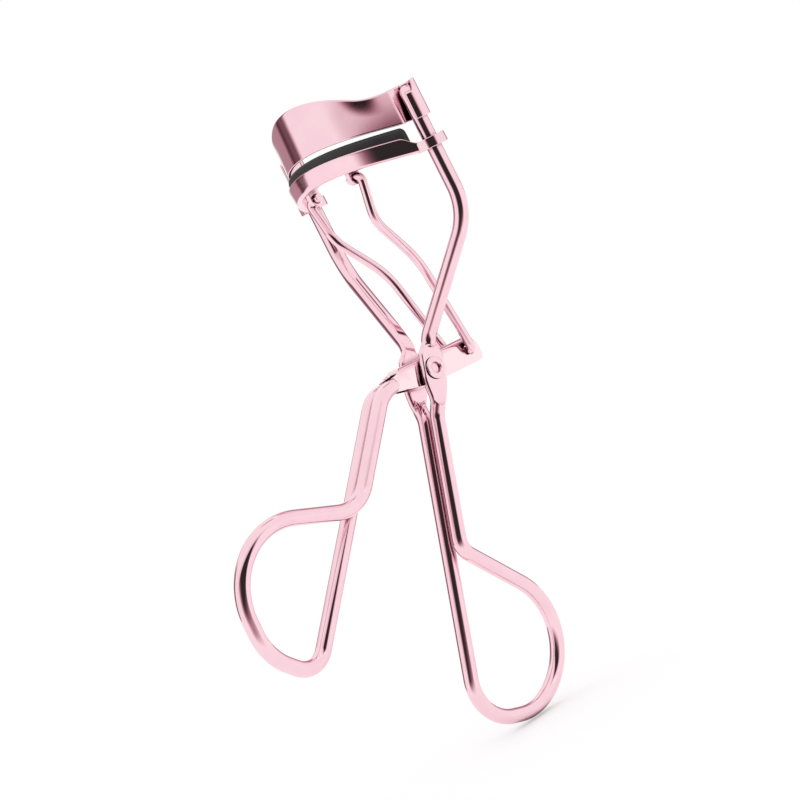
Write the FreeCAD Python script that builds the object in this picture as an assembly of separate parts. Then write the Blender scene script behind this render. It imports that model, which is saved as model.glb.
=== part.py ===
import FreeCAD, Part
import math
import os
from FreeCAD import Vector

# Eyelash curler, modelled in the nearly closed position.
# Origin: centre of the pivot rivet, on the plane of symmetry.
# +X runs along the rivet, +Y towards the eye, +Z up along the guide rods to the jaws.
# The right side is +X. All lengths are in millimetres, all angles in degrees.

# ---- driving dimensions ----
GUIDE_SPACING = 36.0        # between the two guide rods, centre to centre
GUIDE_Y = 9.9               # the guide rods stand this far in front of the rivet
JAW_SAGITTA = 11.2          # the jaws bulge this far back from the guide rods
FRAME_WIRE_D = 2.7          # one wire: guides, pivot plates, handle and ring
LEVER_WIRE_D = 2.8          # one wire: lever handle and ring
THRUST_WIRE_D = 1.6         # the two wires that push the lower jaw
SHEET = 0.7                 # upper jaw and rocker bracket
CHANNEL_SHEET = 0.5         # lower jaw

# ---- plan of the jaws ----
GUIDE_X = GUIDE_SPACING / 2
FACE_R = (GUIDE_X ** 2 + JAW_SAGITTA ** 2) / (2 * JAW_SAGITTA)
ARC_Y = GUIDE_Y - JAW_SAGITTA + FACE_R      # centre of the jaw arc
ARCH_R = 55.0               # the bite line rises in the middle, seen from the front
UPPER_ARCH_R = 49.0         # the upper jaw's edge is arched a little more than the pad

# ---- heights, measured at the middle of the jaws ----
UPPER_EDGE_Z = 42.8         # lower edge of the upper jaw
OPEN_GAP = 0.8              # between the pad and the upper jaw in this position
PAD_TOP_Z = UPPER_EDGE_Z - OPEN_GAP
PAD_STANDS = 1.5            # the pad stands this far above its channel
CHANNEL_TOP_Z = PAD_TOP_Z - PAD_STANDS
CHANNEL_H = 3.2
CHANNEL_BOTTOM_Z = CHANNEL_TOP_Z - CHANNEL_H
HUMP_TOP_Z = 51.5           # highest point of the upper jaw

# ---- upper jaw ----
CREASE_ANGLE = 55.0         # the face turns in towards the sleeves here
HUMP_R = 21.0
HUMP_HALF_W = 11.8
WAIST_X = 16.5              # the outline is level here, beside the hump
STRIP_X = 16.3              # the arched lower edge ends here
STRIP_SHOULDER = 0.6        # width of the slanted edge down to the sleeve strip
SLEEVE_BOTTOM_Z = 39.7
SLEEVE_TOP_Z = 46.6
SLEEVE_WRAP = 238.0         # how far the sheet curls round the rod
SLEEVE_FIT = 0.02
RELIEF_Z = 44.6             # the curl's free side ends lower than its back
RELIEF_SIDE = 1.0           # the relief starts this far inside the rod's axis
RELIEF_FRONT = 0.4          # its level edge ends this far in front of the rod's axis
RELIEF_BACK = 1.0           # its slanted edge ends this far behind the rod's axis

# ---- lower jaw and pad ----
CHANNEL_R = 21.2            # outside of the channel's front wall
CHANNEL_DEPTH = 3.3
CHANNEL_ANGLE = 60.0
WALL_FULL_X = 16.0          # the walls keep their full height up to here
WALL_END_X = 17.9           # and come down to the ears here
PAD_ANGLE = 54.2
PAD_CORNER_R = 1.1
PAD_FIT = 0.04
EAR_R = 2.65
EAR_T = 1.5
EAR_BOTTOM_Z = 34.6
GUIDE_CLEARANCE = 0.08      # radial, between the ears and the rods
LUG_X = 6.0
LUG_T = 1.1
LUG_R = 1.2
LUG_Y = 0.8
LUG_Z = 35.7                # hinge axis of the thrust wires
LUG_CLEARANCE = 0.06

# ---- frame wire ----
ROD_TOP_Z = 44.6
GUIDE_BEND_Z = 22.1
GUIDE_BEND_R = 11.5
NECK_BEND_R = 4.0
HANDLE_TILT = 21.8          # the frame handle leans back from the vertical
STRAND_X = 1.75             # half the spacing of the two handle strands
NECK_U = 5.5                # from the rivet to the neck, along the handle
JOGGLE_END_U = 8.2
PLATE_T = 1.2
PLATE_INSIDE_X = 2.3
PLATE_HALF_W = 2.5
PLATE_HALF_L = 6.6
COIN_HALF_L = 4.3           # pressed flat this far up and down from the rivet

# ---- finger rings: four rounded corners, placed along and across the handle ----
FRAME_RING_U = 32.1
FRAME_RING_BASE = 29.8
FRAME_RING_APEX = 30.0
FRAME_APEX_SHARE = 0.51     # how far down its base each ring's outer corner stands
FRAME_HEEL = 12.2
FRAME_HEEL_SHARE = 0.97     # and the rounder corner below it
FRAME_RING_TOP_R = 3.6
FRAME_RING_BOTTOM_R = 7.0
LEVER_RING_U = 30.2
LEVER_RING_BASE = 29.3
LEVER_RING_APEX = 27.3
LEVER_APEX_SHARE = 0.46
LEVER_HEEL = 10.6
LEVER_HEEL_SHARE = 1.02
LEVER_RING_TOP_R = 7.4
LEVER_RING_BOTTOM_R = 4.8
RING_SIDE_R = 12.2
RING_HEEL_R = 10.0
RING_HEEL_X = 0.7           # where the heel stands between the strands, as a share

# ---- lever ----
LEVER_TILT = 46.0           # the lever handle leans back from the vertical
LEVER_OFFSET = 8.45         # the lever's strands pass this far from the rivet
LEVER_STRAND_X = 1.45
LEVER_BEND_R = 7.0
BRACKET_TILT = -2.5         # nose down
BRACKET_W = 4.2
BRACKET_TOP = 2.65
BRACKET_BOTTOM = -2.35
BRACKET_FRONT = 12.6
BRACKET_BACK = -8.8
BRACKET_BACK_BOTTOM = -0.9
BRACKET_CHIN = 12.9         # the lower corner of the nose reaches a little further
BELLY_Y = -1.0              # the lower edge starts to rise towards the back here
BACK_BOTTOM_R = 0.4
BACK_TOP_R = 1.3
NOSE_TOP_R = 2.2
CHIN_R = 1.2
BELLY_R = 5.0
WEB_FRONT = 10.2
WEB_BACK = -6.2             # behind this the two walls stand alone
WIRE_END_Y = -4.3           # the lever wire's ends stop here inside the bracket
WIRE_Z_IN_BRACKET = 0.3
TONGUE_FIT = 0.03

# ---- thrust wires ----
HOOK_Y = 10.2
HOOK_Z = -0.3
HOOK_X = 3.1                # just outside the bracket's wall
HOOK_END_X = 1.1            # its end, inside the bracket
HOOK_SLOT_L = 2.45          # the slot takes up the swing of the hook
HOOK_SLOT_W = 1.9
THRUST_TOP_X = 7.9          # the wire turns in towards the lug here
PIN_END_X = 4.6             # its end, past the lug
KNEE = Vector(6.0, 0.6, 27.5)
ELBOW = Vector(4.55, 6.9, 18.1)
PIN_BEND_R = 1.0
KNEE_R = 7.0
ELBOW_R = 17.0
HOOK_BEND_R = 0.95

# ---- rivet ----
RIVET_SHANK_R = 1.3
RIVET_BORE_R = 0.95
RIVET_HEAD_R = 2.0
RIVET_HEAD_T = 0.5
RIVET_ROLL_R = 0.4          # rounding of the rolled heads
RIVET_FIT = 0.02            # radial, in the plates
PIVOT_CLEARANCE = 0.06      # radial, in the bracket

X_AXIS = Vector(1, 0, 0)
Z_AXIS = Vector(0, 0, 1)
ORIGIN = Vector(0, 0, 0)
FAR = 80.0                  # longer than any piece, for cutting tools


def save(shape, node):
    """Write one sub-part as a STEP file named after its node."""
    shape.exportStep("parts/" + node + ".step")


def mirrored(shape):
    return shape.mirror(ORIGIN, X_AXIS)


def mirrored_point(point):
    return Vector(-point.x, point.y, point.z)


def on_frame_handle(x, along, across=0.0):
    """A point by its distance down the frame handle, and across it towards +Y."""
    tilt = math.radians(HANDLE_TILT)
    y = -along * math.sin(tilt) + across * math.cos(tilt)
    z = -along * math.cos(tilt) - across * math.sin(tilt)
    return Vector(x, y, z)


def on_lever_handle(x, along, across=0.0):
    """A point by its distance down the lever handle, and across it away from the frame."""
    tilt = math.radians(LEVER_TILT)
    y = -along * math.sin(tilt) - across * math.cos(tilt)
    z = -along * math.cos(tilt) + across * math.sin(tilt)
    return Vector(x, y, z)


def rounded_path(corners):
    """A wire of straight runs joined by tangent arcs. corners = (point, radius) pairs."""
    edges = []
    start = corners[0][0]
    for (before, _), (corner, radius), (after, _) in zip(corners, corners[1:], corners[2:]):
        back = (before - corner).normalize()
        ahead = (after - corner).normalize()
        half = back.getAngle(ahead) / 2
        reach = radius / math.tan(half)
        middle = (back + ahead).normalize()
        centre = corner + middle * (radius / math.sin(half))
        arc_start = corner + back * reach
        arc_end = corner + ahead * reach
        edges.append(Part.LineSegment(start, arc_start).toShape())
        edges.append(Part.Arc(arc_start, centre - middle * radius, arc_end).toShape())
        start = arc_end
    edges.append(Part.LineSegment(start, corners[-1][0]).toShape())
    return Part.Wire(edges)


def round_wire(path, diameter):
    """A round wire swept along a path."""
    first = path.Edges[0]
    direction = first.tangentAt(first.FirstParameter)
    section = Part.Wire([Part.makeCircle(diameter / 2, path.Vertexes[0].Point, direction)])
    return path.makePipeShell([section], True, False)


def domed_end(wire, point, radius):
    return wire.fuse(Part.makeSphere(radius, point)).removeSplitter()


def arch_drop(x):
    """How far the bite line has dropped at x, seen from the front."""
    return arc_drop(ARCH_R, x)


def arc_drop(radius, x):
    """How far an arc of this radius has dropped at x from its top."""
    return radius - math.sqrt(radius ** 2 - x ** 2)


def arch_arc(z_middle, half_width, radius=ARCH_R):
    """The arched line at a height, from -half_width to +half_width."""
    z_end = z_middle - arc_drop(radius, half_width)
    return Part.Arc(Vector(-half_width, 0, z_end), Vector(0, 0, z_middle), Vector(half_width, 0, z_end))


def front_prism(edges):
    """A closed outline in the XZ plane, pushed through along Y."""
    face = Part.Face(Part.Wire(edges))
    face.translate(Vector(0, -FAR / 2, 0))
    return face.extrude(Vector(0, FAR, 0))


def line(x1, z1, x2, z2):
    return Part.LineSegment(Vector(x1, 0, z1), Vector(x2, 0, z2)).toShape()


def jaw_band(inner_r, outer_r, half_angle):
    """A tall ring sector about the jaws' arc centre, open towards the eye."""
    centre = Vector(0, ARC_Y, 0)
    ring = Part.makeCylinder(outer_r, FAR, centre).cut(Part.makeCylinder(inner_r, FAR, centre))
    reach = FAR * math.tan(math.radians(half_angle))
    wedge = Part.makePolygon([
        centre,
        centre + Vector(-reach, -FAR, 0),
        centre + Vector(reach, -FAR, 0),
        centre,
    ])
    return ring.common(Part.Face(wedge).extrude(Vector(0, 0, FAR)))


# ---- upper jaw ----

def upper_outline():
    """Front view of the upper jaw: arched lower edge, hump and flat sleeve strips."""
    end_x = GUIDE_X + EAR_R
    hump_z = HUMP_TOP_Z - HUMP_R + math.sqrt(HUMP_R ** 2 - HUMP_HALF_W ** 2)
    slope = math.asin(HUMP_HALF_W / HUMP_R)
    waist_r = (WAIST_X - HUMP_HALF_W) / math.sin(slope)
    waist_z = hump_z - waist_r * (1 - math.cos(slope))
    mid_x = WAIST_X - waist_r * math.sin(slope / 2)
    mid_z = waist_z + waist_r * (1 - math.cos(slope / 2))
    lower_z = UPPER_EDGE_Z - arc_drop(UPPER_ARCH_R, STRIP_X)
    hump_end = Vector(HUMP_HALF_W, 0, hump_z)
    hump = Part.Arc(mirrored_point(hump_end), Vector(0, 0, HUMP_TOP_Z), hump_end)
    fall = Part.Arc(hump_end, Vector(mid_x, 0, mid_z), Vector(WAIST_X, 0, waist_z))
    right = [
        fall.toShape(),
        line(WAIST_X, waist_z, end_x, SLEEVE_TOP_Z),
        line(end_x, SLEEVE_TOP_Z, end_x, SLEEVE_BOTTOM_Z),
        line(end_x, SLEEVE_BOTTOM_Z, STRIP_X + STRIP_SHOULDER, SLEEVE_BOTTOM_Z),
        line(STRIP_X + STRIP_SHOULDER, SLEEVE_BOTTOM_Z, STRIP_X, lower_z),
    ]
    left = [mirrored(edge) for edge in right]
    lower = arch_arc(UPPER_EDGE_Z, STRIP_X, UPPER_ARCH_R).toShape()
    return front_prism(Part.sortEdges([hump.toShape(), lower] + right + left)[0])


def sleeve():
    """The right-hand end strip and its curl round the guide rod."""
    inner_r = FRAME_WIRE_D / 2 + SLEEVE_FIT
    outer_r = inner_r + SHEET
    curl_r = inner_r + SHEET / 2
    rod = Vector(GUIDE_X, GUIDE_Y, 0)
    crease = math.radians(CREASE_ANGLE)
    face_r = FACE_R - SHEET / 2
    crease_point = Vector(face_r * math.sin(crease), ARC_Y - face_r * math.cos(crease), 0)
    to_rod = rod - crease_point
    lean = math.asin(curl_r / to_rod.Length)
    heading = math.atan2(to_rod.y, to_rod.x) + lean
    start_heading = heading + math.pi / 2
    curl_start = rod + Vector(math.cos(start_heading), math.sin(start_heading), 0) * curl_r
    run = curl_start - crease_point
    side = run.cross(Z_AXIS).normalize() * (SHEET / 2)
    strip_corners = [crease_point + side, curl_start + side, curl_start - side, crease_point - side]
    strip = Part.Face(Part.makePolygon(strip_corners + strip_corners[:1])).extrude(Z_AXIS * FAR)
    fold = Part.makeCylinder(SHEET / 2, FAR, crease_point)
    ring = Part.makeCylinder(outer_r, FAR, rod).cut(Part.makeCylinder(inner_r, FAR, rod))
    open_part = Part.makeCylinder(2 * outer_r, FAR, rod, Z_AXIS, 360 - SLEEVE_WRAP)
    open_part.rotate(rod, Z_AXIS, math.degrees(start_heading))
    return strip.fuse([fold, ring.cut(open_part)])


def sleeve_relief():
    """What is trimmed off the top of the right-hand curl, on its free side."""
    outline = Part.makePolygon([
        Vector(GUIDE_X - RELIEF_SIDE, 0, RELIEF_Z),
        Vector(GUIDE_X - RELIEF_SIDE, GUIDE_Y - RELIEF_FRONT, RELIEF_Z),
        Vector(GUIDE_X - RELIEF_SIDE, GUIDE_Y + RELIEF_BACK, SLEEVE_TOP_Z),
        Vector(GUIDE_X - RELIEF_SIDE, 0, SLEEVE_TOP_Z),
        Vector(GUIDE_X - RELIEF_SIDE, 0, RELIEF_Z),
    ])
    return Part.Face(outline).extrude(Vector(FAR, 0, 0))


def upper_jaw():
    face = jaw_band(FACE_R - SHEET, FACE_R, CREASE_ANGLE)
    right = sleeve()
    sheet = face.fuse([right, mirrored(right)]).removeSplitter()
    sheet = sheet.common(upper_outline())
    return sheet.cut(sleeve_relief()).cut(mirrored(sleeve_relief()))


# ---- lower jaw and pad ----

def channel_prism(z_bottom, z_top, half_width):
    """An arched strip between two heights, in front view."""
    low = arch_arc(z_bottom, half_width).toShape()
    high = arch_arc(z_top, half_width).toShape()
    drop = arch_drop(half_width)
    right = line(half_width, z_bottom - drop, half_width, z_top - drop)
    return front_prism(Part.sortEdges([low, high, right, mirrored(right)])[0])


def wall_prism():
    """Front view of the channel walls: full height, then down to the ears."""
    end_top = EAR_BOTTOM_Z + EAR_T
    top_z = CHANNEL_TOP_Z - arch_drop(WALL_FULL_X)
    low_z = CHANNEL_BOTTOM_Z - arch_drop(WALL_END_X)
    low = arch_arc(CHANNEL_BOTTOM_Z, WALL_END_X).toShape()
    high = arch_arc(CHANNEL_TOP_Z, WALL_FULL_X).toShape()
    right = [line(WALL_FULL_X, top_z, WALL_END_X, end_top), line(WALL_END_X, end_top, WALL_END_X, low_z)]
    left = [mirrored(edge) for edge in right]
    return front_prism(Part.sortEdges([low, high] + right + left)[0])


def ear():
    rod = Vector(GUIDE_X, GUIDE_Y, EAR_BOTTOM_Z)
    return Part.makeCylinder(EAR_R, EAR_T, rod)


def lug():
    """A tab under the channel, with the hinge hole for a thrust wire."""
    left_x = LUG_X - LUG_T / 2
    round_end = Part.makeCylinder(LUG_R, LUG_T, Vector(left_x, LUG_Y, LUG_Z), X_AXIS)
    height = CHANNEL_BOTTOM_Z - arch_drop(LUG_X) + CHANNEL_SHEET / 2 - LUG_Z
    stem = Part.makeBox(LUG_T, 2 * LUG_R, height, Vector(left_x, LUG_Y - LUG_R, LUG_Z))
    hole_r = THRUST_WIRE_D / 2 + LUG_CLEARANCE
    hole = Part.makeCylinder(hole_r, LUG_T, Vector(left_x, LUG_Y, LUG_Z), X_AXIS)
    return round_end.fuse(stem).cut(hole)


def lower_jaw():
    inner_r = CHANNEL_R - CHANNEL_DEPTH
    band = jaw_band(inner_r, CHANNEL_R, CHANNEL_ANGLE)
    hollow = jaw_band(inner_r + CHANNEL_SHEET, CHANNEL_R - CHANNEL_SHEET, CHANNEL_ANGLE + 1)
    walls = band.cut(hollow).common(wall_prism())
    floor = band.common(channel_prism(CHANNEL_BOTTOM_Z, CHANNEL_BOTTOM_Z + CHANNEL_SHEET, GUIDE_X))
    right = ear().fuse(lug())
    body = walls.fuse([floor, right, mirrored(right)])
    rod_hole_r = FRAME_WIRE_D / 2 + GUIDE_CLEARANCE
    rod_hole = Part.makeCylinder(rod_hole_r, FAR, Vector(GUIDE_X, GUIDE_Y, 0))
    return body.cut(rod_hole).cut(mirrored(rod_hole)).removeSplitter()


def lash_pad():
    inner_r = CHANNEL_R - CHANNEL_DEPTH + CHANNEL_SHEET + PAD_FIT
    outer_r = CHANNEL_R - CHANNEL_SHEET - PAD_FIT
    pad_bottom_z = CHANNEL_BOTTOM_Z + CHANNEL_SHEET + PAD_FIT
    strip = jaw_band(inner_r, outer_r, PAD_ANGLE)
    strip = strip.common(channel_prism(pad_bottom_z, PAD_TOP_Z, GUIDE_X))
    top_ends = [edge for edge in strip.Edges if is_pad_end_edge(edge)]
    return strip.makeFillet(PAD_CORNER_R, top_ends)


def is_pad_end_edge(edge):
    """The two short edges across the top of the pad, at its ends."""
    short = edge.Length < CHANNEL_DEPTH
    level = abs(edge.Vertexes[0].Z - edge.Vertexes[-1].Z) < PAD_STANDS / 2
    high = edge.CenterOfMass.z > PAD_TOP_Z - arch_drop(GUIDE_X)
    return short and level and high


# ---- frame ----

def frame_path():
    """From the right rod's top down, round the ring and up to the left rod's top."""
    rod_top = Vector(GUIDE_X, GUIDE_Y, ROD_TOP_Z)
    bend = Vector(GUIDE_X, GUIDE_Y, GUIDE_BEND_Z)
    plate_x = PLATE_INSIDE_X + PLATE_T / 2
    neck = on_frame_handle(plate_x, -NECK_U)
    joggle = on_frame_handle(plate_x, NECK_U)
    strand = on_frame_handle(STRAND_X, JOGGLE_END_U)
    side = [
        (rod_top, 0),
        (bend, GUIDE_BEND_R),
        (neck, NECK_BEND_R),
        (joggle, NECK_BEND_R),
        (strand, NECK_BEND_R),
    ]
    other_side = [(mirrored_point(point), radius) for point, radius in reversed(side)]
    apex_u = FRAME_RING_U + FRAME_RING_BASE * FRAME_APEX_SHARE
    heel_u = FRAME_RING_U + FRAME_RING_BASE * FRAME_HEEL_SHARE
    ring = [
        (on_frame_handle(STRAND_X, FRAME_RING_U), FRAME_RING_TOP_R),
        (on_frame_handle(0, apex_u, FRAME_RING_APEX), RING_SIDE_R),
        (on_frame_handle(-STRAND_X * RING_HEEL_X, heel_u, FRAME_HEEL), RING_HEEL_R),
        (on_frame_handle(-STRAND_X, FRAME_RING_U + FRAME_RING_BASE), FRAME_RING_BOTTOM_R),
    ]
    return rounded_path(side + ring + other_side)


def pivot_plate():
    """The coined, pointed-oval plate on the right side, without its hole."""
    tip_up = Vector(PLATE_INSIDE_X, 0, PLATE_HALF_L)
    tip_down = Vector(PLATE_INSIDE_X, 0, -PLATE_HALF_L)
    front = Part.Arc(tip_down, Vector(PLATE_INSIDE_X, PLATE_HALF_W, 0), tip_up).toShape()
    back = Part.Arc(tip_up, Vector(PLATE_INSIDE_X, -PLATE_HALF_W, 0), tip_down).toShape()
    plate = Part.Face(Part.Wire([front, back])).extrude(Vector(PLATE_T, 0, 0))
    plate.rotate(ORIGIN, X_AXIS, -HANDLE_TILT)
    return plate


def coining_space():
    """What pressing removes from the right-hand wire on both faces of the plate."""
    length = 2 * COIN_HALF_L
    depth = 4 * PLATE_HALF_W
    inside = Part.makeBox(PLATE_INSIDE_X, depth, length, Vector(0, -depth / 2, -length / 2))
    outside_x = PLATE_INSIDE_X + PLATE_T
    outside = Part.makeBox(PLATE_INSIDE_X, depth, length, Vector(outside_x, -depth / 2, -length / 2))
    space = inside.fuse(outside)
    space.rotate(ORIGIN, X_AXIS, -HANDLE_TILT)
    return space


def frame_wire():
    rod_top = Vector(GUIDE_X, GUIDE_Y, ROD_TOP_Z)
    wire = round_wire(frame_path(), FRAME_WIRE_D)
    wire = domed_end(wire, rod_top, FRAME_WIRE_D / 2)
    wire = domed_end(wire, mirrored_point(rod_top), FRAME_WIRE_D / 2)
    wire = wire.cut(coining_space()).cut(mirrored(coining_space()))
    wire = wire.fuse([pivot_plate(), mirrored(pivot_plate())]).removeSplitter()
    hole_r = RIVET_SHANK_R + RIVET_FIT
    return wire.cut(Part.makeCylinder(hole_r, FAR, Vector(-FAR / 2, 0, 0), X_AXIS))


def pivot_rivet():
    """A tubular rivet with a rolled head at each end."""
    outside_x = PLATE_INSIDE_X + PLATE_T
    total = 2 * (outside_x + RIVET_HEAD_T)
    shank = Part.makeCylinder(RIVET_SHANK_R, total, Vector(-total / 2, 0, 0), X_AXIS)
    head = Part.makeCylinder(RIVET_HEAD_R, RIVET_HEAD_T, Vector(outside_x, 0, 0), X_AXIS)
    rim = [edge for edge in head.Edges if edge.Closed and edge.CenterOfMass.x > outside_x + RIVET_FIT]
    head = head.makeFillet(RIVET_ROLL_R, rim)
    bore = Part.makeCylinder(RIVET_BORE_R, total, Vector(-total / 2, 0, 0), X_AXIS)
    return shank.fuse([head, mirrored(head)]).cut(bore).removeSplitter()


# ---- lever ----

def bracket_outline():
    """Side view of the rocker bracket, in its own level frame."""
    corners = [
        ((BRACKET_BACK, BRACKET_BACK_BOTTOM), BACK_BOTTOM_R),
        ((BRACKET_BACK, BRACKET_TOP), BACK_TOP_R),
        ((BRACKET_FRONT, BRACKET_TOP), NOSE_TOP_R),
        ((BRACKET_CHIN, BRACKET_BOTTOM), CHIN_R),
        ((BELLY_Y, BRACKET_BOTTOM), BELLY_R),
    ]
    points = [(Vector(0, y, z), radius) for (y, z), radius in corners]
    start = (points[0][0] + points[-1][0]) * 0.5
    path = rounded_path([(start, 0)] + points + [(start, 0)])
    return Part.Face(path)


def rocker_bracket():
    """A channel folded from sheet: web on top, open below, at the front and at the back."""
    outline = bracket_outline()
    outline.translate(Vector(-BRACKET_W / 2, 0, 0))
    block = outline.extrude(Vector(BRACKET_W, 0, 0))
    inside_w = BRACKET_W - 2 * SHEET
    inside_top = BRACKET_TOP - SHEET
    corner = Vector(-inside_w / 2, -FAR / 2, inside_top - FAR)
    block = block.cut(Part.makeBox(inside_w, FAR, FAR, corner))
    block = block.cut(Part.makeBox(inside_w, FAR, FAR, Vector(-inside_w / 2, WEB_FRONT, -FAR / 2)))
    block = block.cut(Part.makeBox(inside_w, FAR, FAR, Vector(-inside_w / 2, WEB_BACK - FAR, -FAR / 2)))
    block.rotate(ORIGIN, X_AXIS, BRACKET_TILT)
    pivot_r = RIVET_SHANK_R + PIVOT_CLEARANCE
    block = block.cut(Part.makeCylinder(pivot_r, FAR, Vector(-FAR / 2, 0, 0), X_AXIS))
    return block.cut(hook_slot())


def hook_slot():
    """The slot through both walls that the thrust wires hook into."""
    half_run = (HOOK_SLOT_L - HOOK_SLOT_W) / 2
    radius = HOOK_SLOT_W / 2
    back = Part.makeCylinder(radius, FAR, Vector(-FAR / 2, HOOK_Y - half_run, HOOK_Z), X_AXIS)
    front = Part.makeCylinder(radius, FAR, Vector(-FAR / 2, HOOK_Y + half_run, HOOK_Z), X_AXIS)
    corner = Vector(-FAR / 2, HOOK_Y - half_run, HOOK_Z - radius)
    return back.fuse([front, Part.makeBox(FAR, 2 * half_run, HOOK_SLOT_W, corner)])


def in_bracket(x, y, z):
    """A point given in the bracket's level frame."""
    tilt = math.radians(BRACKET_TILT)
    return Vector(x, y * math.cos(tilt) - z * math.sin(tilt), y * math.sin(tilt) + z * math.cos(tilt))


def lever_corner(x):
    """Where the bracket's axis meets the line of the lever's strands."""
    start = in_bracket(x, 0, WIRE_Z_IN_BRACKET)
    back = in_bracket(x, -1, WIRE_Z_IN_BRACKET) - start
    across = on_lever_handle(0, 0, 1)
    run = (LEVER_OFFSET - start.dot(across)) / back.dot(across)
    return start + back * run


def lever_path():
    """From the right strand's end down, round the ring and back up the left strand."""
    x = LEVER_STRAND_X
    apex_u = LEVER_RING_U + LEVER_RING_BASE * LEVER_APEX_SHARE
    heel_u = LEVER_RING_U + LEVER_RING_BASE * LEVER_HEEL_SHARE
    ring_end = on_lever_handle(-x, LEVER_RING_U + LEVER_RING_BASE, LEVER_OFFSET)
    return rounded_path([
        (in_bracket(x, WIRE_END_Y, WIRE_Z_IN_BRACKET), 0),
        (lever_corner(x), LEVER_BEND_R),
        (on_lever_handle(x, LEVER_RING_U, LEVER_OFFSET), LEVER_RING_TOP_R),
        (on_lever_handle(0, apex_u, LEVER_OFFSET + LEVER_RING_APEX), RING_SIDE_R),
        (on_lever_handle(-x * RING_HEEL_X, heel_u, LEVER_OFFSET + LEVER_HEEL), RING_HEEL_R),
        (ring_end, LEVER_RING_BOTTOM_R),
        (lever_corner(-x), LEVER_BEND_R),
        (in_bracket(-x, WIRE_END_Y, WIRE_Z_IN_BRACKET), 0),
    ])


def lever_wire():
    """The lever's wire, with its two ends flattened to fit inside the bracket."""
    wire = round_wire(lever_path(), LEVER_WIRE_D)
    half_inside = BRACKET_W / 2 - SHEET - TONGUE_FIT
    back = BRACKET_BACK - TONGUE_FIT
    trim = Part.makeBox(FAR, FAR, FAR, Vector(half_inside, back, -FAR / 2))
    lid = Part.makeBox(FAR, FAR, FAR, Vector(-FAR / 2, back, BRACKET_TOP - SHEET - TONGUE_FIT))
    for tool in (trim, mirrored(trim), lid):
        tool.rotate(ORIGIN, X_AXIS, BRACKET_TILT)
        wire = wire.cut(tool)
    return wire


# ---- thrust wires ----

def thrust_wire():
    """The right-hand thrust wire: hinge pin, two bends and the hook at its foot."""
    path = rounded_path([
        (Vector(PIN_END_X, LUG_Y, LUG_Z), 0),
        (Vector(THRUST_TOP_X, LUG_Y, LUG_Z), PIN_BEND_R),
        (KNEE, KNEE_R),
        (ELBOW, ELBOW_R),
        (Vector(HOOK_X, HOOK_Y, HOOK_Z), HOOK_BEND_R),
        (Vector(HOOK_END_X, HOOK_Y, HOOK_Z), 0),
    ])
    return round_wire(path, THRUST_WIRE_D)


def build():
    os.makedirs("parts", exist_ok=True)
    right_thrust = thrust_wire()
    pieces = {
        "frame_wire": frame_wire(),
        "pivot_rivet": pivot_rivet(),
        "upper_jaw": upper_jaw(),
        "lower_jaw": lower_jaw(),
        "lash_pad": lash_pad(),
        "thrust_wire_right": right_thrust,
        "thrust_wire_left": mirrored(right_thrust),
        "rocker_bracket": rocker_bracket(),
        "lever_wire": lever_wire(),
    }
    for node, shape in pieces.items():
        save(shape, node)
        solids = len(shape.Solids)
        print(f"{node}: solids {solids}, valid {shape.isValid()}, volume {shape.Volume:.1f} mm3")


build()
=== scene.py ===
import math
import bmesh
import bpy
from mathutils import Matrix, Vector
from mathutils.geometry import convex_hull_2d


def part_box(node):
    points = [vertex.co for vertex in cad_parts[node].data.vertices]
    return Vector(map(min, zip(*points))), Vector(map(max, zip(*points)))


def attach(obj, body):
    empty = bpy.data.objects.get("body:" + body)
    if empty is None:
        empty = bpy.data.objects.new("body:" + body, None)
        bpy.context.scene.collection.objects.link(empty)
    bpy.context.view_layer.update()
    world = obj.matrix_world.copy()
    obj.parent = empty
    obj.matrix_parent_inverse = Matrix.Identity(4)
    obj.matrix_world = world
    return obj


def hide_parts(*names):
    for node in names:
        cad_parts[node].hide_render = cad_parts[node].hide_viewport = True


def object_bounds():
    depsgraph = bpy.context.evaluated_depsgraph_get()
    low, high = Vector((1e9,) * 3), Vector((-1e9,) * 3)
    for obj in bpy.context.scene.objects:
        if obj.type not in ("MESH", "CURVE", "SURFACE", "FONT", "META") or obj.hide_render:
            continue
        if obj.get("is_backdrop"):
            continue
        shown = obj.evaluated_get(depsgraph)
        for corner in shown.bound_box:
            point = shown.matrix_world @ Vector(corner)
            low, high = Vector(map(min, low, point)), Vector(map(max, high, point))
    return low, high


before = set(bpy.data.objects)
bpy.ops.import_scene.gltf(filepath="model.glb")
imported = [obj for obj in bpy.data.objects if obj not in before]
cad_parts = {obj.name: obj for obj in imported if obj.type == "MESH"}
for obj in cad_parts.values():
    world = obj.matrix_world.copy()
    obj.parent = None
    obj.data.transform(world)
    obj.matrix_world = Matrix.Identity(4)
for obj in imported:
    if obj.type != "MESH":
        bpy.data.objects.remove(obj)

# Eyelash curler in rose-tinted chrome.
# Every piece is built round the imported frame, in its axes: +X along the rivet,
# +Y towards the eye, +Z up the guide rods. Lengths here are in millimetres and
# angles in degrees; mesh_object() turns the millimetres into metres.

cad_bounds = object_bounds()
MM = 0.001

# ---- driving dimensions, the same as the CAD part's ----
FRAME_WIRE_R = 1.35
LEVER_WIRE_R = 1.4
THRUST_WIRE_R = 0.8
JAW_SHEET = 0.7
CHANNEL_SHEET = 0.5

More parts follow.
